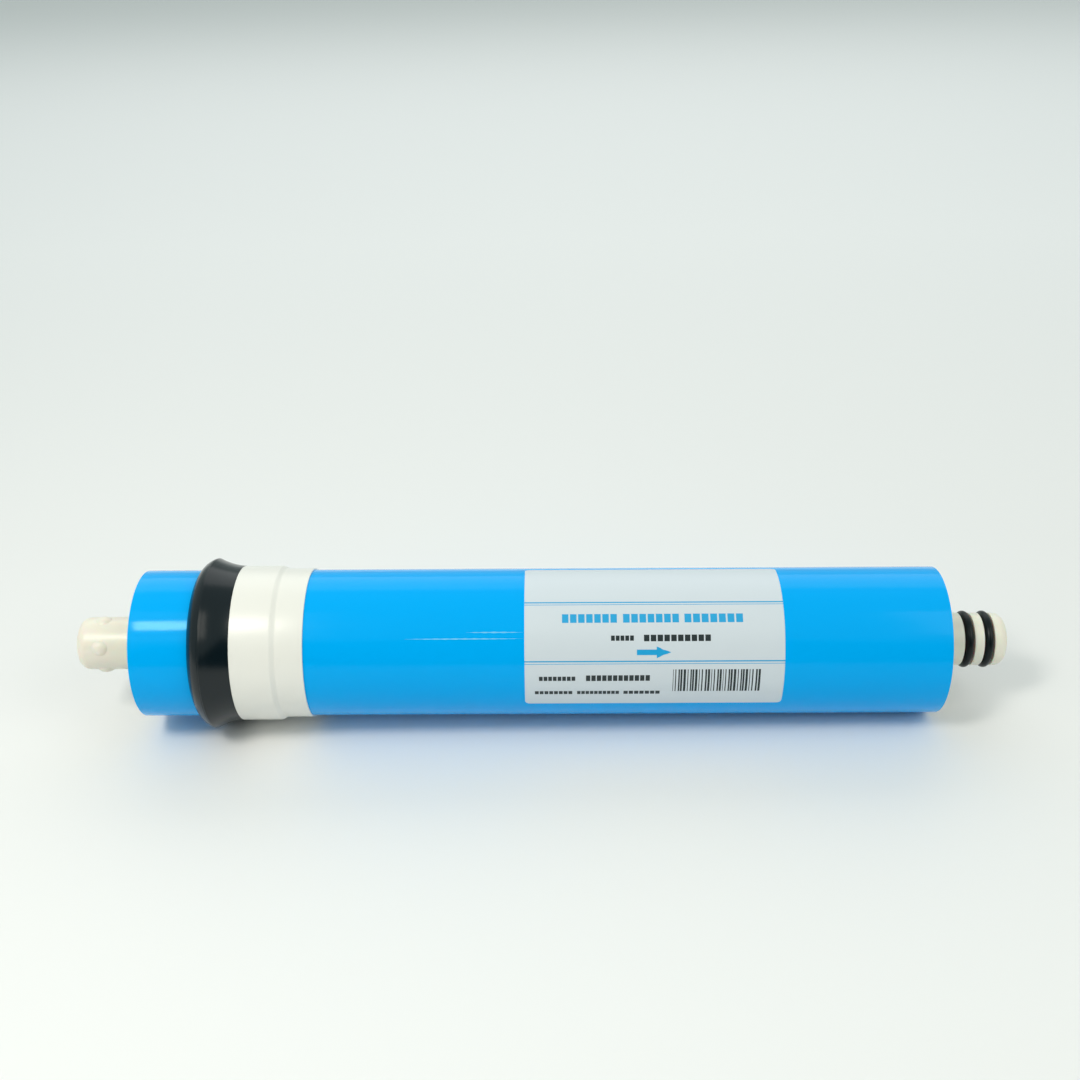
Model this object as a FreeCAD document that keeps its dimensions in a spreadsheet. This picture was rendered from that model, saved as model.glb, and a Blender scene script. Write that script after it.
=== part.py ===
import FreeCAD, Part
import math
import os
import re

import Sketcher

# Spiral-wound reverse osmosis element of the 2012 size, for a household water housing.
#
# A moulded permeate tube, closed at its -X end, carries two membrane leaves that are wound
# round it with a feed spacer between each turn and the next. A blue film wraps the roll.
# A rubber brine seal sits on the film near the closed end, held by white tape. Two O-rings
# on the open +X end of the tube seal the permeate outlet in the housing.
#
# Frame: +X along the axis towards the outlet, +Z up, origin on the axis at mid-length.
# Angles about the axis are counted from -Y (the front) towards +Z, in degrees.

# ---------------------------------------------------------------- driving dimensions

# alias, value in mm (degrees for turns, plain number for counts), what it is
DIMENSIONS = (
    ("element_length", 298.0, "tip to tip of the permeate tube"),
    ("closed_stub", 21.8, "tube that stands out of the roll at the closed end"),
    ("outlet_stub", 22.3, "tube that stands out of the roll at the outlet"),
    ("tube_radius", 8.5, "outside of the permeate tube"),
    ("tube_bore_radius", 5.6, "inside of the tube under the leaves"),
    ("closed_wall", 12.0, "solid end of the tube"),
    ("outlet_bore_radius", 4.75, "inside of the outlet spigot"),
    ("outlet_bore_length", 21.0, "depth of the spigot's narrower bore"),
    ("tip_run", 3.2, "both tube tips are drawn in over this length, by two tapers"),
    ("tip_drop", 2.9, "how much both tube tips are drawn in"),
    ("pip_base_radius", 2.5, "foot of a centring pip on the closed stub"),
    ("pip_height", 0.9, "how far a pip stands out of the tube"),
    ("pip_inset", 8.0, "closed tip to the middle of the pips"),
    ("pip_count", 5, "pips round the tube"),
    ("pip_turn", 23.0, "where the first pip sits round the axis"),
    ("hole_radius", 0.9, "permeate hole"),
    ("hole_pitch", 110.0, "from one permeate hole to the next"),
    ("hole_count", 2, "permeate holes along each side"),
    ("ring_section", 2.6, "thickness of an O-ring's cord"),
    ("ring_flats", 12, "flats round the cord, so few that the two rings stay light"),
    ("gland_depth", 1.95, "depth of an O-ring groove"),
    ("gland_width", 3.3, "width of an O-ring groove"),
    ("gland_pitch", 6.3, "from one O-ring groove to the next"),
    ("gland_inset", 6.1, "outlet tip to the middle of the outer groove"),
    ("carrier_wall", 0.3, "thinnest place of the permeate carrier on the tube"),
    ("leaf_wall", 1.0, "two membranes glued on their permeate carrier"),
    ("spacer_wall", 1.2, "feed spacer netting"),
    ("wrap_radius", 23.55, "outside of the blue film"),
    ("wrap_wall", 0.5, "all turns of the blue film"),
    ("seal_inset", 18.2, "closed end of the roll to the brine seal"),
    ("bevel_run", 4.5, "front of the seal to its lip, along the axis"),
    ("bevel_crown", 0.68, "how far the middle of the front stands out"),
    ("lip_height", 3.9, "lip above the film"),
    ("lip_land", 0.6, "flat of the lip"),
    ("flare_run", 8.7, "lip to the step for the tape"),
    ("flare_foot", 1.4, "rubber above the film at the end of the flare"),
    ("skirt_wall", 0.9, "rubber skirt under the tape"),
    ("skirt_length", 12.4, "skirt from the step to its end"),
    ("tape_wall", 0.45, "all turns of the white tape"),
    ("tape_width", 22.6, "white tape along the axis"),
    ("tape_ramp", 1.4, "run over which the tape comes down off the skirt"),
    ("label_inset", 122.3, "closed end of the roll to the label"),
    ("label_length", 80.0, "label along the axis"),
    ("label_width", 53.0, "label round the film"),
    ("label_wall", 0.12, "paper and glue"),
    ("label_corner", 1.5, "corner radius of the label"),
    ("label_turn", 43.75, "where the middle of the label sits round the axis"),
)

doc = FreeCAD.newDocument("RoMembraneElement")
sheet = doc.addObject("Spreadsheet::Sheet", "Sizes")
for row, (alias, number, meaning) in enumerate(DIMENSIONS, start=1):
    sheet.set(f"B{row}", str(number))
    sheet.setAlias(f"B{row}", alias)
doc.recompute()

ALIAS = re.compile(r"\b(" + "|".join(alias for alias, _, _ in DIMENSIONS) + r")\b")


def size(alias):
    """One driving dimension, as a number."""
    return float(sheet.get(alias))


def from_sheet(formula):
    """A formula in aliases, written the way the expression engine reads it."""
    return ALIAS.sub(r"Sizes.\1", formula)


def worked_out(formula):
    """The number that a formula in aliases gives now."""
    return float(sheet.evalExpression(from_sheet(formula)))


# Places along the axis that several pieces share, as formulas in the aliases
CLOSED_TIP = "(-element_length / 2)"
OUTLET_TIP = "(element_length / 2)"
ROLL_START = "(closed_stub - element_length / 2)"
ROLL_END = "(element_length / 2 - outlet_stub)"
SEAL_FRONT = f"({ROLL_START} + seal_inset)"
SEAL_LIP = f"({SEAL_FRONT} + bevel_run)"
TAPE_START = f"({SEAL_LIP} + flare_run)"
SKIRT_END = f"({TAPE_START} + skirt_length)"
SKIRT_RADIUS = "(wrap_radius + skirt_wall)"


# ---------------------------------------------------------------- modelling helpers


def new_body(label):
    """An empty PartDesign body for one sub-part."""
    body = doc.addObject("PartDesign::Body", label)
    body.Label = label
    return body


def origin_feature(body, role):
    """A plane or an axis of the body's own origin."""
    return next(item for item in body.Origin.OriginFeatures if item.Role == role)


def new_sketch(body, name, plane):
    """An empty sketch on one of the body's origin planes."""
    sketch = body.newObject("Sketcher::SketchObject", name)
    sketch.AttachmentSupport = [(origin_feature(body, plane), "")]
    sketch.MapMode = "FlatFace"
    return sketch


def bind(feature, **formulas):
    """Tie properties of a feature to the sheet."""
    for name, formula in formulas.items():
        feature.setExpression(name, from_sheet(formula))


def place_point(sketch, edge, end, corner):
    """Tie one end of a sketch edge to the two formulas of a corner."""
    for kind, formula, axis in (("DistanceX", corner[0], -2), ("DistanceY", corner[1], -1)):
        if formula == "0":
            sketch.addConstraint(Sketcher.Constraint("PointOnObject", edge, end, axis))
            continue
        index = sketch.addConstraint(
            Sketcher.Constraint(kind, -1, 1, edge, end, worked_out(formula))
        )
        sketch.setExpression(f"Constraints[{index}]", from_sheet(formula))


def draw_outline(sketch, corners):
    """Closed outline through corners, each a pair of formulas (along the axis, out from it)."""
    points = [FreeCAD.Vector(worked_out(x), worked_out(y), 0) for x, y in corners]
    for number, start in enumerate(points):
        finish = points[(number + 1) % len(points)]
        sketch.addGeometry(Part.LineSegment(start, finish), False)
    for edge, corner in enumerate(corners):
        after = (edge + 1) % len(corners)
        sketch.addConstraint(Sketcher.Constraint("Coincident", edge, 2, after, 1))
        place_point(sketch, edge, 1, corner)


def turned(body, name, kind, corners):
    """Revolve (or groove) an outline on the XZ plane a full turn about the axis."""
    sketch = new_sketch(body, name + "_sketch", "XZ_Plane")
    draw_outline(sketch, corners)
    feature = body.newObject("PartDesign::" + kind, name)
    feature.Profile = sketch
    feature.ReferenceAxis = (sketch, ["H_Axis"])
    feature.Angle = 360.0
    doc.recompute()
    return feature


def row_along_axis(body, name, original, count, length):
    """Repeat a feature along the body's X axis."""
    pattern = body.newObject("PartDesign::LinearPattern", name)
    pattern.Originals = [original]
    pattern.Direction = (origin_feature(body, "X_Axis"), [""])
    bind(pattern, Occurrences=count, Length=length)
    body.Tip = pattern
    doc.recompute()
    return pattern


def round_edges(body, name, chosen, radius):
    """Fillet the edges of the body's tip that chosen(edge) picks."""
    base = body.Tip
    fillet = body.newObject("PartDesign::Fillet", name)
    edges = [f"Edge{n}" for n, edge in enumerate(base.Shape.Edges, start=1) if chosen(edge)]
    fillet.Base = (base, edges)
    bind(fillet, Radius=radius)
    doc.recompute()
    return fillet


# ---------------------------------------------------------------- permeate tube


def make_permeate_tube():
    """Moulded tube: solid end with centring pips, drilled middle, grooved outlet spigot."""
    body = new_body("permeate_tube")
    # Each tip is drawn in by a steep taper, then by a slight one: 0.3 of the run and drop
    end_radius = "(tube_radius - tip_drop)"
    between = "(tube_radius - 0.3 * tip_drop)"
    turned(
        body,
        "tube_blank",
        "Revolution",
        [
            (CLOSED_TIP, "0"),
            (CLOSED_TIP, end_radius),
            (f"({CLOSED_TIP} + 0.3 * tip_run)", between),
            (f"({CLOSED_TIP} + tip_run)", "tube_radius"),
            (f"({OUTLET_TIP} - tip_run)", "tube_radius"),
            (f"({OUTLET_TIP} - 0.3 * tip_run)", between),
            (OUTLET_TIP, end_radius),
            (OUTLET_TIP, "0"),
        ],
    )

    # A pip is the cap of a ball sunk in the tube
    ball_radius = "((pip_base_radius ^ 2 + pip_height ^ 2) / (2 * pip_height))"
    reach = f"(tube_radius + pip_height - {ball_radius})"
    pip = body.newObject("PartDesign::AdditiveSphere", "pip")
    pip.AttachmentSupport = [(origin_feature(body, "YZ_Plane"), "")]
    pip.MapMode = "FlatFace"
    bind(pip, Radius=ball_radius)
    pip.setExpression("AttachmentOffset.Base.x", from_sheet(f"-{reach} * cos(pip_turn * 1 deg)"))
    pip.setExpression("AttachmentOffset.Base.y", from_sheet(f"{reach} * sin(pip_turn * 1 deg)"))
    pip.setExpression("AttachmentOffset.Base.z", from_sheet(f"{CLOSED_TIP} + pip_inset"))
    doc.recompute()
    pips = body.newObject("PartDesign::PolarPattern", "pips")
    pips.Originals = [pip]
    pips.Axis = (origin_feature(body, "X_Axis"), [""])
    pips.Angle = 360.0
    bind(pips, Occurrences="pip_count")
    body.Tip = pips
    doc.recompute()

    bore_start = f"({CLOSED_TIP} + closed_wall)"
    spigot_bore = f"({OUTLET_TIP} - outlet_bore_length)"
    turned(
        body,
        "bore",
        "Groove",
        [
            (bore_start, "0"),
            (bore_start, "tube_bore_radius"),
            (spigot_bore, "tube_bore_radius"),
            (spigot_bore, "outlet_bore_radius"),
            (OUTLET_TIP, "outlet_bore_radius"),
            (OUTLET_TIP, "0"),
        ],
    )

    # The inner gland is cut, and repeated once towards the tip
    gland_middle = f"({OUTLET_TIP} - gland_inset - gland_pitch)"
    near, far = f"({gland_middle} - gland_width / 2)", f"({gland_middle} + gland_width / 2)"
    floor, clear = "(tube_radius - gland_depth)", "(tube_radius + gland_depth)"
    gland = turned(
        body, "gland", "Groove", [(near, floor), (near, clear), (far, clear), (far, floor)]
    )
    row_along_axis(body, "glands", gland, "2", "gland_pitch")

    # Each drilling crosses both walls
    drilling = new_sketch(body, "permeate_hole_sketch", "XZ_Plane")
    row_length = "(hole_pitch * (hole_count - 1))"
    edge = drilling.addGeometry(
        Part.Circle(
            FreeCAD.Vector(worked_out(f"-{row_length} / 2"), 0, 0),
            FreeCAD.Vector(0, 0, 1),
            size("hole_radius"),
        ),
        False,
    )
    place_point(drilling, edge, 3, (f"-{row_length} / 2", "0"))
    index = drilling.addConstraint(Sketcher.Constraint("Radius", edge, size("hole_radius")))
    drilling.setExpression(f"Constraints[{index}]", from_sheet("hole_radius"))
    hole = body.newObject("PartDesign::Pocket", "permeate_hole")
    hole.Profile = drilling
    hole.Type = "ThroughAll"
    hole.Midplane = True
    doc.recompute()
    row_along_axis(body, "permeate_holes", hole, "hole_count", row_length)
    return body


# ---------------------------------------------------------------- O-rings


def make_o_ring(label, steps_from_tip):
    """Rubber ring that lies on the floor of a gland, counted from the outlet tip."""
    cord = doc.addObject("Part::RegularPolygon", label + "_section")
    bind(cord, Polygon="ring_flats", Circumradius="ring_section / 2")
    place = f"{OUTLET_TIP} - gland_inset - {steps_from_tip} * gland_pitch"
    cord.setExpression("Placement.Base.x", from_sheet(place))
    seat = "tube_radius - gland_depth + ring_section / 2"
    cord.setExpression("Placement.Base.y", from_sheet(seat))
    ring = doc.addObject("Part::Revolution", label)
    ring.Label = label
    ring.Source = cord
    ring.Base = FreeCAD.Vector(0, 0, 0)
    ring.Axis = FreeCAD.Vector(1, 0, 0)
    ring.Angle = 360.0
    ring.Solid = True
    return ring


# ---------------------------------------------------------------- membrane roll

# The layers are wound as half-turns about two centres, a quarter of the winding pitch to
# either side of the axis. Each half-turn is half the pitch wider than the one before, so
# all layers in one half of the section are concentric and lie face to face.


class Winding:
    """Sizes of the two-leaf winding, and its half-turn arcs in the section plane."""

    def __init__(self):
        self.layer = size("leaf_wall") + size("spacer_wall")
        self.centre = self.layer / 2
        self.inside = size("tube_radius") + size("carrier_wall") + self.centre
        self.outside = size("wrap_radius") - size("wrap_wall")

    def side(self, half_turn):
        """Even half-turns lie above the axis about the centre at -Y, odd ones below at +Y."""
        return 1 if half_turn % 2 == 0 else -1

    def radius(self, half_turn, offset):
        return self.inside + offset + half_turn * self.layer

    def point(self, half_turn, offset, angle):
        """Point of a half-turn at an angle about its own centre, from 0 to pi."""
        side, radius = self.side(half_turn), self.radius(half_turn, offset)
        across = side * (radius * math.cos(angle) - self.centre)
        return FreeCAD.Vector(0, across, side * radius * math.sin(angle))

    def arc(self, half_turn, offset, stop=math.pi):
        ends = (self.point(half_turn, offset, angle) for angle in (0, stop / 2, stop))
        return Part.Arc(*ends).toShape()

    def last(self, offset):
        """Half-turn and angle at which a layer's face runs into the inside of the film."""
        half_turn = 0
        while self.radius(half_turn, offset) + self.centre < self.outside:
            half_turn += 1
        radius = self.radius(half_turn, offset)
        cosine = (radius**2 + self.centre**2 - self.outside**2) / (2 * radius * self.centre)
        return half_turn, math.acos(max(-1.0, min(1.0, cosine)))

    def face_of(self, offset):
        """The arcs of one face of a layer, from its start edge out to the film."""
        half_turn, stop = self.last(offset)
        arcs = [self.arc(number, offset) for number in range(half_turn)]
        return arcs + [self.arc(half_turn, offset, stop)]

    def film_arc(self, inner, outer):
        """The stretch of the film's inside between the ends of a layer's two faces."""
        start, finish = (self.point(turn, offset, angle) for offset, (turn, angle)
                         in ((outer, self.last(outer)), (inner, self.last(inner))))
        bearings = [math.atan2(point.z, point.y) for point in (start, finish)]
        if bearings[1] < bearings[0]:
            bearings[1] += 2 * math.pi
        middle = sum(bearings) / 2
        top = FreeCAD.Vector(0, math.cos(middle), math.sin(middle)) * self.outside
        return Part.Arc(start, top, finish).toShape()


def along_roll(face):
    """Run a section from one end of the roll to the other."""
    face.translate(FreeCAD.Vector(worked_out(ROLL_START), 0, 0))
    return face.extrude(FreeCAD.Vector(worked_out(f"{ROLL_END} - {ROLL_START}"), 0, 0))


def make_layer(label, winding, inner, outer, start_turn):
    """One wound sheet: the strip between two offsets from the face of the winding."""
    edges = winding.face_of(inner) + winding.face_of(outer)
    edges.append(Part.makeLine(winding.point(0, inner, 0), winding.point(0, outer, 0)))
    edges.append(winding.film_arc(inner, outer))
    strip = along_roll(Part.Face(Part.Wire(Part.__sortEdges__(edges))))
    strip.rotate(FreeCAD.Vector(0, 0, 0), FreeCAD.Vector(1, 0, 0), start_turn)
    sheet_feature = doc.addObject("Part::Feature", label)
    sheet_feature.Label = label
    sheet_feature.Shape = strip
    return sheet_feature


def make_core_carrier(winding):
    """Permeate carrier's first turns, which round the tube out to the start of the leaves."""
    outline = []
    for half_turn in (0, 1):
        arc = winding.arc(0, 0)
        arc.rotate(FreeCAD.Vector(0, 0, 0), FreeCAD.Vector(1, 0, 0), 180 * half_turn)
        outline.append(arc)
    near, far = winding.point(0, 0, 0), winding.point(0, 0, math.pi)
    outline.append(Part.makeLine(near, -far))
    outline.append(Part.makeLine(-near, far))
    tube = Part.Circle(FreeCAD.Vector(0, 0, 0), FreeCAD.Vector(1, 0, 0), size("tube_radius"))
    section = Part.Face(Part.Wire(Part.__sortEdges__(outline)))
    section = section.cut(Part.Face(Part.Wire([tube.toShape()]))).Faces[0]
    carrier = doc.addObject("Part::Feature", "core_carrier")
    carrier.Label = "core_carrier"
    carrier.Shape = along_roll(section)
    return carrier


def make_membrane_roll():
    """Two leaves that start on opposite sides of the tube, each with its feed spacer."""
    winding = Winding()
    leaf, layer = size("leaf_wall"), winding.layer
    parts = [make_core_carrier(winding)]
    for number, start_turn in ((1, 0), (2, 180)):
        parts.append(make_layer(f"membrane_leaf_{number}", winding, 0, leaf, start_turn))
        parts.append(make_layer(f"feed_spacer_{number}", winding, leaf, layer, start_turn))
    return parts


# ---------------------------------------------------------------- film, seal and tape


def make_outer_wrap():
    """Blue film, wound tight round the roll and trimmed flush with its ends."""
    body = new_body("outer_wrap")
    inside = "(wrap_radius - wrap_wall)"
    turned(
        body,
        "film",
        "Revolution",
        [
            (ROLL_START, inside),
            (ROLL_START, "wrap_radius"),
            (ROLL_END, "wrap_radius"),
            (ROLL_END, inside),
        ],
    )
    return body


def make_brine_seal():
    """Rubber ring: crowned front, lip, flare, and a thin skirt for the tape."""
    body = new_body("brine_seal")
    lip_radius = "(wrap_radius + lip_height)"
    lip_start = f"({SEAL_LIP} - lip_land / 2)"
    # The crown stands square to the front, at its middle
    front_rise = "atan2(lip_height; bevel_run)"
    turned(
        body,
        "seal_ring",
        "Revolution",
        [
            (SEAL_FRONT, "wrap_radius"),
            (
                f"(({SEAL_FRONT} + {lip_start}) / 2 - bevel_crown * sin({front_rise}))",
                f"((wrap_radius + {lip_radius}) / 2 + bevel_crown * cos({front_rise}))",
            ),
            (lip_start, lip_radius),
            (f"({SEAL_LIP} + lip_land / 2)", lip_radius),
            (TAPE_START, "(wrap_radius + flare_foot)"),
            (TAPE_START, SKIRT_RADIUS),
            (SKIRT_END, SKIRT_RADIUS),
            (SKIRT_END, "wrap_radius"),
        ],
    )
    return body


def make_seal_tape():
    """White tape: starts against the flare, holds the skirt and comes down on the film."""
    body = new_body("seal_tape")
    tape_end = f"({TAPE_START} + tape_width)"
    ramp_end = f"({SKIRT_END} + tape_ramp)"
    turned(
        body,
        "tape_turns",
        "Revolution",
        [
            (TAPE_START, SKIRT_RADIUS),
            (TAPE_START, f"({SKIRT_RADIUS} + tape_wall)"),
            (SKIRT_END, f"({SKIRT_RADIUS} + tape_wall)"),
            (ramp_end, "(wrap_radius + tape_wall)"),
            (tape_end, "(wrap_radius + tape_wall)"),
            (tape_end, "wrap_radius"),
            (ramp_end, "wrap_radius"),
            (SKIRT_END, SKIRT_RADIUS),
        ],
    )
    return body


# ---------------------------------------------------------------- label


def make_label():
    """Blank paper label, bent round the film, with its four corners rounded."""
    body = new_body("label")
    sketch = new_sketch(body, "label_sketch", "YZ_Plane")
    sketch.AttachmentOffset = FreeCAD.Placement(
        FreeCAD.Vector(0, 0, 0), FreeCAD.Rotation(FreeCAD.Vector(0, 0, 1), 90)
    )
    sketch.setExpression("AttachmentOffset.Base.z", from_sheet(f"{ROLL_START} + label_inset"))
    sketch.setExpression("AttachmentOffset.Rotation.Angle", from_sheet("180 - label_turn"))
    half_angle = "(label_width / wrap_radius * 90 / pi)"
    opening = math.radians(worked_out(half_angle))
    radii = ("wrap_radius", "(wrap_radius + label_wall)")
    centre, normal = FreeCAD.Vector(0, 0, 0), FreeCAD.Vector(0, 0, 1)
    for edge, formula in enumerate(radii):
        circle = Part.Circle(centre, normal, worked_out(formula))
        sketch.addGeometry(Part.ArcOfCircle(circle, -opening, opening), False)
        sketch.addConstraint(Sketcher.Constraint("Coincident", edge, 3, -1, 1))
        index = sketch.addConstraint(Sketcher.Constraint("Radius", edge, worked_out(formula)))
        sketch.setExpression(f"Constraints[{index}]", from_sheet(formula))
    for line, end, turn in ((2, 1, -1), (3, 2, 1)):
        points = (sketch.getPoint(0, end), sketch.getPoint(1, end))
        sketch.addGeometry(Part.LineSegment(*points), False)
        sketch.addConstraint(Sketcher.Constraint("Coincident", line, 1, 0, end))
        sketch.addConstraint(Sketcher.Constraint("Coincident", line, 2, 1, end))
        index = sketch.addConstraint(Sketcher.Constraint("Angle", line, turn * opening))
        sketch.setExpression(f"Constraints[{index}]", from_sheet(f"{turn} * {half_angle}"))
        sketch.addConstraint(Sketcher.Constraint("PointOnObject", -1, 1, line))
    pad = body.newObject("PartDesign::Pad", "label_sheet")
    pad.Profile = sketch
    bind(pad, Length="label_length")
    doc.recompute()
    wall = size("label_wall")
    round_edges(
        body,
        "label_corners",
        lambda edge: isinstance(edge.Curve, Part.Line) and abs(edge.Length - wall) < 1e-6,
        "label_corner",
    )
    return body


# ---------------------------------------------------------------- assembly and export


def check(parts):
    """Stop if a feature failed or a sub-part has no sound solid."""
    for item in doc.Objects:
        if "Invalid" in item.State or "Error" in item.State:
            raise RuntimeError(f"{item.Name} failed: {item.State}")
    for part in parts:
        if part.Shape.isNull() or not part.Shape.isValid() or len(part.Shape.Solids) != 1:
            raise RuntimeError(f"{part.Label} is not one sound solid")


element = [
    make_permeate_tube(),
    make_o_ring("o_ring_inner", 1),
    make_o_ring("o_ring_outer", 0),
    *make_membrane_roll(),
    make_outer_wrap(),
    make_brine_seal(),
    make_seal_tape(),
    make_label(),
]
doc.recompute()
check(element)

os.makedirs("parts", exist_ok=True)
for part in element:
    part.Shape.exportStep(f"parts/{part.Label}.step")
    print(f"{part.Label}: {part.Shape.Volume:.1f} mm3")
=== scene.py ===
"""Looks of a spiral-wound reverse osmosis element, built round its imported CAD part."""

import bmesh
import bpy
import numpy as np
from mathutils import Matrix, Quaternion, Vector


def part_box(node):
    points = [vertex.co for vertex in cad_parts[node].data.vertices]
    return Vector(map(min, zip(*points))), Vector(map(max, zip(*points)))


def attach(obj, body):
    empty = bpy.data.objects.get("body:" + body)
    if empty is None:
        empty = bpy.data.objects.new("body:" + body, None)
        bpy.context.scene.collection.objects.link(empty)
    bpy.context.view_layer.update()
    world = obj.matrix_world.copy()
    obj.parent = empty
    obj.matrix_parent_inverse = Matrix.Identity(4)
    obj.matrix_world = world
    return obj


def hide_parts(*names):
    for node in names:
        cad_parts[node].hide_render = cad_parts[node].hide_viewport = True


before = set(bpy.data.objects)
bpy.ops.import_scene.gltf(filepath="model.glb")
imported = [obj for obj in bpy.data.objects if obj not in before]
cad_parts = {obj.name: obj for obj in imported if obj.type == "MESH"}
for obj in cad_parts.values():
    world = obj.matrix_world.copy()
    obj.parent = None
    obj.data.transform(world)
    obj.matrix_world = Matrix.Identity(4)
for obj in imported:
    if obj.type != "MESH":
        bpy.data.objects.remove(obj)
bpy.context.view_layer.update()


# ---------------------------------------------------------------- permeate tube
# The tube that collects the clean water: one cream moulding, solid at the closed end, where
# five low domes centre it in the housing's cap. The other end is the spigot, with a groove
# for each O-ring. The tips are rounded so that they slide in.

MM = 0.001  # the pieces are worked out in millimetres


def ends_of(node):
    """Where a CAD node starts and ends along X, and how far it reaches out of the axis, in mm."""
    low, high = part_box(node)
    return low.x / MM, high.x / MM, max(high.y, high.z, -low.y, -low.z) / MM


def linear(red, green, blue):
    """Colour given in steps of 0 to 255, as the linear colour that a shader takes."""
    steps = np.array([red, green, blue]) / 255
    curved = ((steps + 0.055) / 1.055) ** 2.4
    return (*np.where(steps > 0.04045, curved, steps / 12.92), 1.0)


def finish_of(name, colour, roughness, **sockets):
    """Shader of one colour; sockets are named with _ for a space."""
    material = bpy.data.materials.new(name)
    material.use_nodes = True
    shader = material.node_tree.nodes["Principled BSDF"]
    shader.inputs["Base Color"].default_value = linear(*colour)
    shader.inputs["Roughness"].default_value = roughness
    for socket, value in sockets.items():
        shader.inputs[socket.replace("_", " ")].default_value = value
    return material


def uneven(material, size, height, stretch=1.0):
    """Noise on Object coordinates lifts the surface by up to height; its grain is size, in mm.

    stretch makes the grain that many times longer along X.
    """
    nodes, links = material.node_tree.nodes, material.node_tree.links
    place = nodes.new("ShaderNodeTexCoord")
    scaled = nodes.new("ShaderNodeMapping")
    scaled.inputs["Scale"].default_value = (1 / (size * MM * stretch), *[1 / (size * MM)] * 2)
    grain = nodes.new("ShaderNodeTexNoise")
    grain.inputs["Scale"].default_value = 1.0
    grain.inputs["Detail"].default_value = 2.0
    bump = nodes.new("ShaderNodeBump")
    bump.inputs["Distance"].default_value = height * MM
    links.new(place.outputs["Object"], scaled.inputs["Vector"])
    links.new(scaled.outputs["Vector"], grain.inputs["Vector"])
    links.new(grain.outputs["Fac"], bump.inputs["Height"])
    links.new(bump.outputs["Normal"], nodes["Principled BSDF"].inputs["Normal"])
    return material


def rounded(corners, reach, steps=5):
    """Outline whose corners are parabolas that start and end at reach from the corner.

    A parabola is (1-t)^2 A + 2t(1-t) P + t^2 B for the corner P, with A and B on its two edges.
    reach shrinks to 0.45 of an edge that is short, and the first and last corners stay.
    """
    corners = np.asarray(corners, float)
    before, after = np.roll(corners, 1, 0), np.roll(corners, -1, 0)
    t = np.linspace(0, 1, steps)[None, :, None]
    reaches = np.full(len(corners), float(reach))
    reaches[[0, -1]] = 0
    ends = []
    for neighbour in (before, after):
        run = neighbour - corners
        length = np.maximum(np.hypot(*run.T), 1e-9)
        ends.append(corners + run * (np.minimum(reaches, 0.45 * length) / length)[:, None])
    start, finish = ends[0][:, None], ends[1][:, None]
    curve = (1 - t) ** 2 * start + 2 * t * (1 - t) * corners[:, None] + t**2 * finish
    return curve.reshape(-1, 2)


def filled(outline, step):
    """Outline with more points on it, so that no run between two is longer than step."""
    outline = np.asarray(outline, float)
    length = np.concatenate([[0], np.cumsum(np.hypot(*np.diff(outline, axis=0).T))])
    marks = np.union1d(length, np.arange(0, length[-1], step))
    return np.stack([np.interp(marks, length, outline[:, side]) for side in (0, 1)], axis=1)


def turned(outline, columns=256, lift=0.0):
    """Outline (x, r) turned about the axis: (x, -r cos a, r sin a) for each angle a.

    lift is added to r: a number, or a grid with a row for each point of the outline.
    """
    angle = np.linspace(0, 2 * np.pi, columns, endpoint=False)
    along = outline[:, :1] + 0 * angle
    out = outline[:, 1:] + lift + 0 * angle
    return np.stack([along, -out * np.cos(angle), out * np.sin(angle)], axis=-1)


def grid_quads(rows, columns, ring_of_rows=False):
    """Quads between neighbours in a grid whose every row is closed, as corner numbers."""
    row = np.arange(rows if ring_of_rows else rows - 1)[:, None]
    column = np.arange(columns)[None, :]
    row_after, column_after = (row + 1) % rows, (column + 1) % columns
    corners = [
        row * columns + column,
        row * columns + column_after,
        row_after * columns + column_after,
        row_after * columns + column,
    ]
    return np.stack(corners, axis=-1).reshape(-1, 4)


def finished(name, points, quads, materials, node, kinds=None, crease=35):
    """Piece that stands for a CAD node: points in mm, poles closed, faces outwards, smooth
    except where two faces meet at more than crease degrees. kinds gives each quad's material.
    """
    mesh = bpy.data.meshes.new(name)
    mesh.from_pydata((points.reshape(-1, 3) * MM).tolist(), [], quads.tolist())
    for material in materials:
        mesh.materials.append(material)
    if kinds is not None:
        mesh.polygons.foreach_set("material_index", kinds)
    shell = bmesh.new()
    shell.from_mesh(mesh)
    bmesh.ops.remove_doubles(shell, verts=shell.verts, dist=0.0005 * MM)
    bmesh.ops.recalc_face_normals(shell, faces=shell.faces)
    shell.to_mesh(mesh)
    shell.free()
    mesh.shade_smooth()
    mesh.set_sharp_from_angle(angle=np.radians(crease))
    piece = bpy.data.objects.new(name, mesh)
    bpy.context.scene.collection.objects.link(piece)
    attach(piece, "root")
    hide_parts(node)
    return piece


closed_tip, outlet_tip, _ = ends_of("permeate_tube")
tube_radius = 8.5
tip_run, tip_drop = 3.2, 2.9
groove_floor, groove_width = 6.55, 3.3
groove_inset, groove_pitch = 6.1, 6.3
grooves = [outlet_tip - groove_inset - groove_pitch, outlet_tip - groove_inset]
spigot_bore, tube_bore = 4.75, 5.6
spigot_bore_length, closed_wall = 21.0, 12.0
spigot_bore_end, closed_wall_end = outlet_tip - spigot_bore_length, closed_tip + closed_wall
tube_edge, tube_columns = 0.25, 288
dome_base, dome_height, dome_place = 2.5, 0.9, closed_tip + 8.0
dome_turns = np.radians(23 + 72 * np.arange(5))


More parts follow.
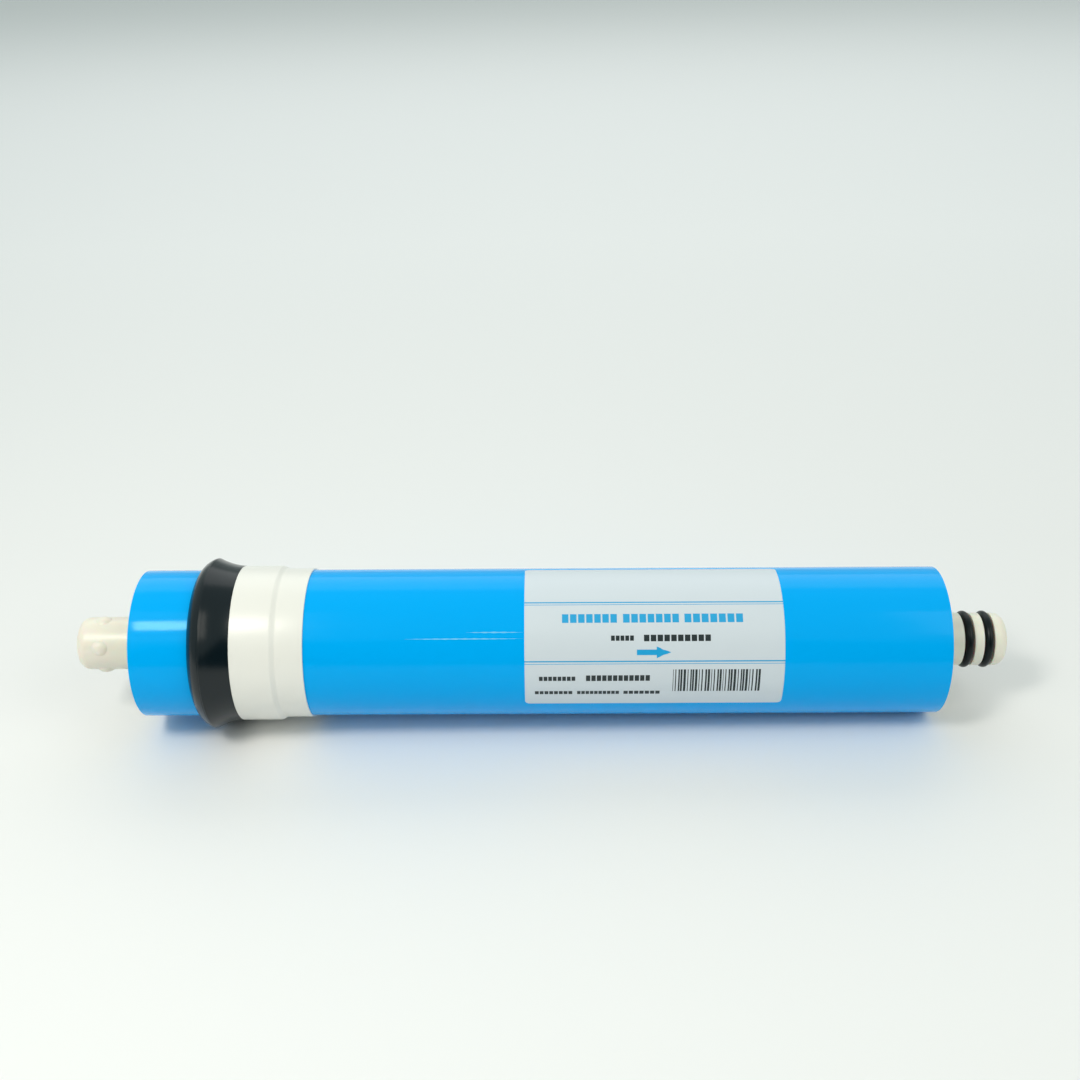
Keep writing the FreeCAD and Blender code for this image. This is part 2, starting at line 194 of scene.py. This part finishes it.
def tube_outline():
    """Half section from the closed tip over the outside to the mouth, then back in the bore.

    A rounded tip is a quarter ellipse: x = run (1 - cos a), r = radius - drop (1 - sin a).
    """
    a = np.linspace(0, np.pi / 2, 12)
    tip = np.stack([tip_run * (1 - np.cos(a)), tube_radius - tip_drop * (1 - np.sin(a))], axis=1)
    band = np.linspace(dome_place - dome_base, dome_place + dome_base, 15)
    outside = [[along, tube_radius] for along in band]
    for middle in grooves:
        near, far = middle - groove_width / 2, middle + groove_width / 2
        outside += [[near, tube_radius], [near, groove_floor]]
        outside += [[far, groove_floor], [far, tube_radius]]
    bore = [
        [outlet_tip, spigot_bore],
        [spigot_bore_end, spigot_bore],
        [spigot_bore_end, tube_bore],
        [closed_wall_end, tube_bore],
        [closed_wall_end, 0],
    ]
    closed_end = tip + [closed_tip, 0]
    mouth = tip[::-1] * [-1, 1] + [outlet_tip, 0]
    corners = np.concatenate([[[closed_tip, 0]], closed_end, outside, mouth, bore])
    return rounded(corners, tube_edge)


def domes_on(outline, columns):
    """Height of the domes on the grid of the tube: a ball's cap, sqrt(ball^2 - d^2) - sunk,
    where d is the way over the surface from the dome's middle."""
    ball = (dome_base**2 + dome_height**2) / (2 * dome_height)
    angle = np.linspace(0, 2 * np.pi, columns, endpoint=False)
    height = np.zeros((len(outline), columns))
    for turn in dome_turns:
        apart = (angle - turn + np.pi) % (2 * np.pi) - np.pi
        square = (outline[:, :1] - dome_place) ** 2 + (tube_radius * apart) ** 2
        height = np.maximum(height, np.sqrt(np.maximum(ball**2 - square, 0)) - ball + dome_height)
    return height * (abs(outline[:, 1:] - tube_radius) < 0.01)


outline = tube_outline()
tube_plastic = finish_of(
    "tube_plastic", (240, 235, 221), 0.34, Subsurface_Weight=0.25, Subsurface_Scale=0.004
)
uneven(tube_plastic, size=0.9, height=0.01)
finished(
    "tube",
    turned(outline, tube_columns, domes_on(outline, tube_columns)),
    grid_quads(len(outline), tube_columns),
    [tube_plastic],
    "permeate_tube",
)


# ---------------------------------------------------------------- O-rings
# Two black rubber rings that lie in the grooves of the spigot and stand a little proud of
# it, where the housing's socket squeezes them.

ring_rubber = finish_of("ring_rubber", (5, 18, 20), 0.3, Specular_IOR_Level=0.25)
section_points, ring_columns = 40, 160
for node in ("o_ring_inner", "o_ring_outer"):
    start, finish, reach = ends_of(node)
    cord = (finish - start) / 2
    a = np.linspace(0, 2 * np.pi, section_points, endpoint=False)
    section = np.stack([start + cord + cord * np.cos(a), reach - cord + cord * np.sin(a)], axis=1)
    finished(
        node.replace("o_ring_", "ring_"),
        turned(section, ring_columns),
        grid_quads(section_points, ring_columns, ring_of_rows=True),
        [ring_rubber],
        node,
    )


# ---------------------------------------------------------------- membrane roll
# The carrier knit is wound on the tube first. Two leaves start from opposite sides of it,
# each with netting on its outside that keeps the feed water's way open, and all four sheets
# are wound up together. Both ends of the roll are cut, so the edges of the sheets show.

roll_start, roll_end, _ = ends_of("membrane_leaf_1")
film_inside = 23.05
leaf_wall, netting_wall, knit_wall = 1.0, 1.2, 0.3
layer = leaf_wall + netting_wall
first_radius = tube_radius + knit_wall + layer / 2


def wound(along, depth, half_turns):
    """Points of the winding at a depth over the inner face of a leaf.

    Half-turn k is a half-circle of radius first + depth + k layer, about a centre that lies
    half a layer to one side of the axis, and the next one lies to the other side. What
    would pass the film is laid on its inside.
    """
    number = np.floor(half_turns)
    side = 1 - 2 * (number % 2)
    angle = (half_turns - number) * np.pi
    radius = first_radius + depth + number * layer
    across, up = side * (radius * np.cos(angle) - layer / 2), side * radius * np.sin(angle)
    trim = np.minimum(1, film_inside / np.hypot(across, up))
    return np.stack([along + 0 * trim, across * trim, up * trim], axis=-1)


def loft_quads(rows, columns):
    """Quads of a grid of closed rows, with its first and last row closed by strips across."""
    side = np.arange(columns // 2 - 1)
    strip = np.stack([side, side + 1, columns - 2 - side, columns - 1 - side], axis=1)
    last = strip + (rows - 1) * columns
    return np.concatenate([grid_quads(rows, columns), strip, last])


def wound_sheet(inner, wall, fractions, inset, stations):
    """Sheet of the roll: at each station a closed section, from its inner face outwards at
    one end of the roll and back at the other. inset draws the cut edges in, by fraction of
    the wall (a column) and station (a row)."""
    reach = np.linspace(0, 8, 4001)
    stop = reach[np.hypot(*wound(0, inner, reach)[:, 1:].T) < film_inside - 0.01].max()
    t = np.linspace(0, stop, stations)[:, None]
    way = np.pi * (first_radius * t + layer * t**2 / 2)
    cut = inset(fractions[None, :], way)
    along = np.concatenate([roll_start + cut, roll_end - cut[:, ::-1]], axis=1)
    depth = inner + wall * np.concatenate([fractions, fractions[::-1]])[None, :]
    return wound(along, depth + 0 * along, t + 0 * along)


leaf_fractions = np.array([0, 0.05, 0.2, 0.26, 0.32, 0.5, 0.68, 0.74, 0.8, 0.95, 1])
leaf_cut = np.array([0.15, 0.03, 0.03, 0.5, 0.2, 0.14, 0.2, 0.5, 0.03, 0.03, 0.15])


def leaf_edge(fraction, way):
    """A leaf's cut edge: two membranes stand out, with the carrier and a groove between, and
    the cut wanders by 0.05 (1 + sin(way / 7.3))."""
    return np.interp(fraction, leaf_fractions, leaf_cut) + 0.05 * (1 + np.sin(way / 7.3))


def netting_edge(fraction, way):
    """Netting's cut edge: strands of two crossing rows come and go, 2.6 mm apart."""
    pitch, strand = 2.6, 0.26
    cut = np.full((way + fraction).shape, 1.1)
    for middle, phase in ((0.28, 0.0), (0.72, 0.5)):
        beside = (way / pitch + phase + 0.5) % 1 - 0.5
        square = ((fraction - middle) / strand) ** 2 + (beside / 0.2) ** 2
        cut = cut - 1.05 * np.sqrt(np.maximum(1 - square, 0))
    return np.maximum(cut, 0.05)


knit = finish_of("carrier_knit", (226, 228, 220), 0.85)
membrane = finish_of("membrane", (214, 216, 205), 0.6)
netting = finish_of("spacer_net", (196, 205, 208), 0.45)

a = np.linspace(0, np.pi, 97)
half = wound(0, 0, np.minimum(a / np.pi, 0.9999))[:, 1:]
outer_edge = np.concatenate([half, -half])
bearing = outer_edge / np.hypot(*outer_edge.T)[:, None]
sections = [(roll_start, outer_edge), (roll_end, outer_edge)]
sections += [(roll_end, bearing * tube_radius), (roll_start, bearing * tube_radius)]
knit_points = np.stack(
    [np.column_stack([np.full(len(edge), along), edge]) for along, edge in sections]
)
finished(
    "carrier_turns",
    knit_points,
    grid_quads(4, len(outer_edge), ring_of_rows=True),
    [knit],
    "core_carrier",
)

netting_fractions = np.linspace(0, 1, 13)
leaf_stations, netting_stations = 600, 1100
for number, turn in ((1, 1), (2, -1)):
    leaf = wound_sheet(0, leaf_wall, leaf_fractions, leaf_edge, leaf_stations)
    finished(
        f"leaf_{number}",
        leaf * [1, turn, turn],
        loft_quads(*leaf.shape[:2]),
        [membrane],
        f"membrane_leaf_{number}",
    )
    net = wound_sheet(
        leaf_wall, netting_wall, netting_fractions, netting_edge, netting_stations
    )
    finished(
        f"netting_{number}",
        net * [1, turn, turn],
        loft_quads(*net.shape[:2]),
        [netting],
        f"feed_spacer_{number}",
    )


# ---------------------------------------------------------------- blue film
# Glossy blue film, wound tight round the roll and trimmed flush with its ends. Two fine
# creases run along it beside the label: low ridges with a painted highlight, paler blue.

film_columns, film_edge = 256, 0.12
film_start, film_end, film_radius = ends_of("outer_wrap")
film_gloss = {"Specular_IOR_Level": 0.18, "Specular_Tint": (0.5, 0.9, 1.0, 1.0)}
blue_film = finish_of("blue_film", (0, 172, 250), 0.11, **film_gloss)
uneven(blue_film, size=3.0, height=0.004, stretch=6.0)
# The creases' paler blue is a painted highlight along the ridges, not a colour of the film.
crease_highlight_film = finish_of("crease_highlight_film", (120, 205, 250), 0.15)


def slab(stations, half_widths, middle, inner, outer, columns=24):
    """Thin sheet bent round the axis, as closed sections at stations along X.

    At a station the sheet spreads by its half-width to both sides of the angle middle: an
    outer line out from the axis by outer, a number or one for each column, and back by inner.
    """
    spread = np.linspace(-1, 1, columns)
    widths = np.asarray(half_widths, float)[:, None]
    angle = middle + widths * spread / inner
    angle = np.concatenate([angle, angle[:, ::-1]], axis=1)
    out = np.concatenate([outer + 0 * spread, inner + 0 * spread])
    along = np.asarray(stations, float)[:, None] + 0 * angle
    return np.stack([along, -out * np.cos(angle), out * np.sin(angle)], axis=-1)


def together(shells):
    """Points, quads and kinds of several lofts (grid, quads, kind) as one mesh."""
    points = [grid.reshape(-1, 3) for grid, _, _ in shells]
    starts = np.cumsum([0] + [len(some) for some in points[:-1]])
    quads = [some + start for (_, some, _), start in zip(shells, starts)]
    kinds = [np.full(len(some), kind) for _, some, kind in shells]
    return np.concatenate(points), np.concatenate(quads), np.concatenate(kinds)


film_outline = rounded(
    [
        [0, film_inside],
        [film_start, film_inside],
        [film_start, film_radius],
        [film_end, film_radius],
        [film_end, film_inside],
        [0, film_inside],
    ],
    film_edge,
)[5:-5]
film_outline = filled(np.concatenate([film_outline, film_outline[:1]]), 6.0)[:-1]
skin_quads = grid_quads(len(film_outline), film_columns, ring_of_rows=True)
shells = [(turned(film_outline, film_columns), skin_quads, 0)]

# A crease is a low ridge, cos^2 across, that thins out at both ends and wavers on its way
crease_end, crease_width, crease_height, crease_columns = -5.2, 0.17, 0.06, 7
across = np.linspace(-np.pi / 2, np.pi / 2, crease_columns)
crease_top = film_radius + crease_height * np.cos(across) ** 2
for turn, crease_start in ((41.5, -22.9), (36.7, -41.9)):
    stations = np.linspace(crease_start, crease_end, 40)
    taper = np.sin(np.linspace(0.1, np.pi - 0.1, 40))
    widths = crease_width * taper * (1 + 0.4 * np.sin(stations * 2.1))
    ridge = slab(
        stations, widths, np.radians(turn), film_radius - 0.02, crease_top, crease_columns
    )
    shells.append((ridge, loft_quads(*ridge.shape[:2]), 1))
film_points, film_quads, film_kinds = together(shells)
finished(
    "film",
    film_points,
    film_quads,
    [blue_film, crease_highlight_film],
    "outer_wrap",
    kinds=film_kinds,
)


# ---------------------------------------------------------------- brine seal
# Ring of black rubber that keeps feed water from passing outside the roll. A crowned front
# leads to the lip, which the housing bends in, and the hollow flare ends in a thin skirt.

seal_start, seal_end, lip_radius = ends_of("brine_seal")
tape_start = ends_of("seal_tape")[0]
front_run, flare_foot, skirt_wall = 4.5, 1.4, 0.9
lip_place = seal_start + front_run
foot_radius = film_radius + flare_foot
skirt_radius = film_radius + skirt_wall
crown, hollow, seal_edge, seal_columns = 0.66, 0.5, 0.1, 288


def bowed(start, finish, rise, steps=14):
    """Points from start to finish on a parabola that stands rise to the left at its middle."""
    start, finish = np.array(start), np.array(finish)
    t = np.linspace(0, 1, steps)[:, None]
    run = finish - start
    left = np.array([-run[1], run[0]]) / np.hypot(*run)
    return start + run * t + left * (4 * rise * t * (1 - t))


lip = (lip_place, lip_radius)
lip_corners = [(lip_place - 0.3, lip_radius - 0.2), lip, (lip_place + 0.3, lip_radius - 0.2)]
seal_outline = np.concatenate(
    [
        bowed((seal_start, film_radius), lip, crown)[:-1],
        rounded(lip_corners, seal_edge),
        bowed(lip, (tape_start, foot_radius), -hollow)[1:],
        rounded(
            [
                (tape_start, foot_radius),
                (tape_start, skirt_radius),
                (seal_end, skirt_radius),
                (seal_end, film_radius),
                (seal_start, film_radius),
            ],
            seal_edge,
        ),
    ]
)
seal_rubber = finish_of("seal_rubber", (6, 20, 26), 0.2, Specular_IOR_Level=0.4)
uneven(seal_rubber, size=0.8, height=0.012)
finished(
    "seal",
    turned(seal_outline, seal_columns),
    grid_quads(len(seal_outline), seal_columns, ring_of_rows=True),
    [seal_rubber],
    "brine_seal",
    crease=28,
)


# ---------------------------------------------------------------- white tape
# Turns of white plastic tape that hold the seal's skirt down. It starts against the flare,
# and comes down in a soft step where the skirt ends under it.

tape_start, tape_end, tape_radius = ends_of("seal_tape")
tape_wall, tape_ramp, tape_edge = 0.45, 1.4, 0.12
step_lead, step_run = 0.2, 1.9


def tape_outline():
    """Half section: the outer face comes down by 3t^2 - 2t^3 over the step, and the inner
    face lies on the skirt, then on the film."""
    t = np.linspace(0, 1, 14)
    fall = (tape_radius - film_radius - tape_wall) * (3 * t**2 - 2 * t**3)
    step = np.stack([seal_end - step_lead + step_run * t, tape_radius - fall], axis=1)
    corners = [[tape_start, skirt_radius], [tape_start, tape_radius]]
    under = [[tape_end, film_radius + tape_wall], [tape_end, film_radius]]
    under += [[seal_end + tape_ramp, film_radius], [seal_end, skirt_radius]]
    under += [[tape_start, skirt_radius]]
    return rounded(np.concatenate([corners, step, under]), tape_edge)[:-1]


white_tape = finish_of("white_tape", (238, 237, 231), 0.3)
uneven(white_tape, size=2.2, height=0.02)
section = tape_outline()
finished(
    "tape",
    turned(section, film_columns),
    grid_quads(len(section), film_columns, ring_of_rows=True),
    [white_tape],
    "seal_tape",
)


# ---------------------------------------------------------------- label
# Satin paper label with rounded corners. Its print is plain: double rules, rows of blocks
# where words would be, an arrow for the way of the flow, and stripes. Its head is bare.

label_start, label_end, label_radius = ends_of("label")
label_length, label_width, label_corner = label_end - label_start, 53.0, 1.5
label_middle = np.radians(43.75)
ink_wall, ink_sunk = 0.012, 0.05


def row_of_blocks(kind, left, right, lower, upper, count):
    """Blocks in place of a word: count of them side by side, each filling 0.8 of its pitch."""
    pitch = (right - left) / (count - 0.2)
    return [(kind, left + n * pitch, left + (n + 0.8) * pitch, lower, upper) for n in range(count)]


# Fields are (ink, left, right, lower, upper), in mm from the lower left corner of the paper,
# and ink 1 is blue and ink 2 dark. A word has its count of blocks at the end.
rule_lines = ((35.0, 0.4), (34.3, 0.18), (16.2, 0.4), (15.5, 0.18))
rules = [(1, 0, label_length, lower, lower + wide) for lower, wide in rule_lines]
word_rows = (
    (1, 11.6, 28.5, 28.4, 31.2, 7),
    (1, 30.4, 47.6, 28.4, 31.2, 7),
    (1, 49.3, 67.3, 28.4, 31.2, 7),
    (2, 26.6, 33.6, 22.8, 24.4, 5),
    (2, 36.7, 57.2, 22.6, 24.6, 10),
    (2, 4.4, 15.6, 9.9, 11.4, 8),
    (2, 18.9, 38.6, 9.8, 11.8, 12),
    (2, 3.1, 14.7, 4.6, 5.9, 8),
    (2, 16.2, 29.2, 4.6, 5.9, 10),
    (2, 30.6, 41.8, 4.6, 5.9, 7),
)
words = [block for row in word_rows for block in row_of_blocks(*row)]

# The stripes and the gaps between them take uneven shares of their field
stripes, stripes_left, stripes_width = 30, 45.7, 27.4
weights = 0.3 + (np.arange(2 * stripes) * 0.618034) % 1
shares = np.concatenate([[0], np.cumsum(weights)]) / weights.sum()
edges = stripes_left + stripes_width * shares
bars = [(2, edges[2 * n], edges[2 * n + 1], 5.7, 13.7) for n in range(stripes)]


def paper_outline():
    """Stations and half-widths of the label: in a corner of radius c the half-width is
    W/2 - c + sqrt(c^2 - d^2), d being the way into the corner."""
    a = np.linspace(0, np.pi / 2, 9)
    into = label_corner * (1 - np.cos(a))
    half = label_width / 2 - label_corner * (1 - np.sin(a))
    middle = np.linspace(label_corner, label_length - label_corner, 20)[1:-1]
    stations = np.concatenate([into, middle, label_length - into[::-1]])
    halves = np.concatenate([half, np.full(len(middle), label_width / 2), half[::-1]])
    return label_start + stations, halves


def printed(left, right, lower, upper):
    """A field of ink, as a slab just over the paper's face, with about 2 columns a mm."""
    middle = label_middle + ((lower + upper) / 2 - label_width / 2) / label_radius
    stations = label_start + np.linspace(left, right, 2)
    halves = [(upper - lower) / 2] * 2
    columns = 3 + int(2 * (upper - lower))
    inner, outer = label_radius - ink_sunk, label_radius + ink_wall
    return slab(stations, halves, middle, inner, outer, columns)


paper_stations, paper_halves = paper_outline()
paper = slab(paper_stations, paper_halves, label_middle, film_radius, label_radius, 96)
shells = [(paper, loft_quads(*paper.shape[:2]), 0)]
for kind, *field in rules + words + bars:
    ink = printed(*field)
    shells.append((ink, loft_quads(*ink.shape[:2]), kind))
arrow_places, arrow_halves, arrow_height = [34.5, 40.6, 40.6, 45.0], [0.85, 0.85, 1.8, 0.02], 19.2
arrow = slab(
    label_start + np.array(arrow_places),
    arrow_halves,
    label_middle + (arrow_height - label_width / 2) / label_radius,
    label_radius - ink_sunk,
    label_radius + ink_wall,
    9,
)
shells.append((arrow, loft_quads(*arrow.shape[:2]), 1))
label_points, label_quads, label_kinds = together(shells)
label_paper = finish_of("label_paper", (212, 221, 229), 0.42)
print_blue = finish_of("print_blue", (24, 164, 222), 0.4)
print_dark = finish_of("print_dark", (26, 40, 44), 0.4)
finished(
    "paper_label",
    label_points,
    label_quads,
    [label_paper, print_blue, print_dark],
    "label",
    kinds=label_kinds,
)


# ---------------------------------------------------------------- table, light and camera
# The element lies on a pale table, on the lip of its seal and the rim of the film at the
# outlet, so its axis dips a little towards the outlet. Two soft boxes hang above it, the
# left one with a bright core, and a panel lights it from behind.

rest_run = film_end - lip_place
rest_slope = (lip_radius - film_radius) / rest_run
table_reach = 6000.0
table_x = np.array([-1, 1, 1, -1]) * table_reach
table_points = np.stack(
    [
        table_x,
        np.array([-1, -1, 1, 1]) * table_reach,
        -lip_radius + (table_x - lip_place) * rest_slope,
    ],
    axis=1,
)
table_mesh = bpy.data.meshes.new("table")
table_mesh.from_pydata((table_points * MM).tolist(), [], [(0, 1, 2, 3)])
# The table's white turns paler from 0.1 to 0.5 m behind the element: painted light on the far
# table.
near_white, far_painted_light = (238, 238, 238), (249, 249, 249)
table_white = finish_of("table_white", near_white, 0.6)
nodes, links = table_white.node_tree.nodes, table_white.node_tree.links
place, apart = nodes.new("ShaderNodeTexCoord"), nodes.new("ShaderNodeSeparateXYZ")
away = nodes.new("ShaderNodeMapRange")
away.inputs["From Min"].default_value, away.inputs["From Max"].default_value = 0.1, 0.5
shade = nodes.new("ShaderNodeMix")
shade.data_type = "RGBA"
shade.inputs["A"].default_value = linear(*near_white)
shade.inputs["B"].default_value = linear(*far_painted_light)
links.new(place.outputs["Object"], apart.inputs["Vector"])
links.new(apart.outputs["Y"], away.inputs["Value"])
links.new(away.outputs["Result"], shade.inputs["Factor"])
links.new(shade.outputs["Result"], nodes["Principled BSDF"].inputs["Base Color"])
table_mesh.materials.append(table_white)
table = bpy.data.objects.new("table", table_mesh)
bpy.context.scene.collection.objects.link(table)

# A box hangs on edge, so that it narrows towards the middle. Each is (name, X, side, glow),
# in metres, and its power is glow pi side^2.
light_reach, light_rise = 0.62, np.radians(61)
hangings = (
    ("soft_box_left", -0.45, 0.6, 0.75),
    ("core_left", -0.30, 0.15, 23.0),
    ("soft_box_right", 0.52, 0.5, 1.8),
)
for name, across, side, glow in hangings:
    data = bpy.data.lights.new(name, "AREA")
    data.shape, data.size, data.energy = "SQUARE", side, glow * np.pi * side**2
    data.color = (1.0, 0.965, 0.88)
    light = bpy.data.objects.new(name, data)
    light.location = (
        across,
        -light_reach * np.cos(light_rise),
        light_reach * np.sin(light_rise),
    )
    on_edge = Quaternion((0, 0, 1), np.radians(45))
    light.rotation_mode = "QUATERNION"
    light.rotation_quaternion = (-light.location).to_track_quat("-Z", "Y") @ on_edge
    light.visible_camera = False
    bpy.context.scene.collection.objects.link(light)

# The lit panel behind the table
data = bpy.data.lights.new("back_panel", "AREA")
data.shape, data.size, data.size_y, data.energy = "RECTANGLE", 1.8, 0.8, 4.0
back_panel = bpy.data.objects.new("back_panel", data)
back_panel.location = (0, 0.95, 0.75)
back_panel.rotation_euler = np.radians([-35, 0, 0])
back_panel.visible_camera = False
bpy.context.scene.collection.objects.link(back_panel)

# The room is dark low in front, and pale behind, above and to both sides
world = bpy.data.worlds.new("room")
bpy.context.scene.world = world
world.use_nodes = True
nodes, links = world.node_tree.nodes, world.node_tree.links
direction = nodes.new("ShaderNodeTexCoord")
apart = nodes.new("ShaderNodeSeparateXYZ")
aside = nodes.new("ShaderNodeMath")
aside.operation = "ABSOLUTE"
behind, beside = nodes.new("ShaderNodeMath"), nodes.new("ShaderNodeMath")
for term, share in ((behind, 0.81), (beside, 0.9)):
    term.operation = "MULTIPLY_ADD"
    term.inputs[1].default_value = share
ramp = nodes.new("ShaderNodeValToRGB")
dark_front, pale_room = ramp.color_ramp.elements
dark_front.position, dark_front.color = 0.0, (0.03, 0.035, 0.035, 1)
pale_room.position, pale_room.color = 0.12, (0.45, 0.515, 0.50, 1)
links.new(direction.outputs["Generated"], apart.inputs["Vector"])
links.new(apart.outputs["X"], aside.inputs[0])
links.new(apart.outputs["Y"], behind.inputs[0])
links.new(apart.outputs["Z"], behind.inputs[2])
links.new(aside.outputs["Value"], beside.inputs[0])
links.new(behind.outputs["Value"], beside.inputs[2])
links.new(beside.outputs["Value"], ramp.inputs["Fac"])
links.new(ramp.outputs["Color"], nodes["Background"].inputs["Color"])

camera_data = bpy.data.cameras.new("camera")
camera_data.sensor_width, camera_data.lens = 36.0, 43.36
camera = bpy.data.objects.new("camera", camera_data)
camera.location = (0.00299, -0.34733, 0.24320)
camera.rotation_euler = np.radians([59.435, 0.484, 0.200])
bpy.context.scene.collection.objects.link(camera)
bpy.context.scene.camera = camera
bpy.context.scene.view_settings.view_transform = "Standard"
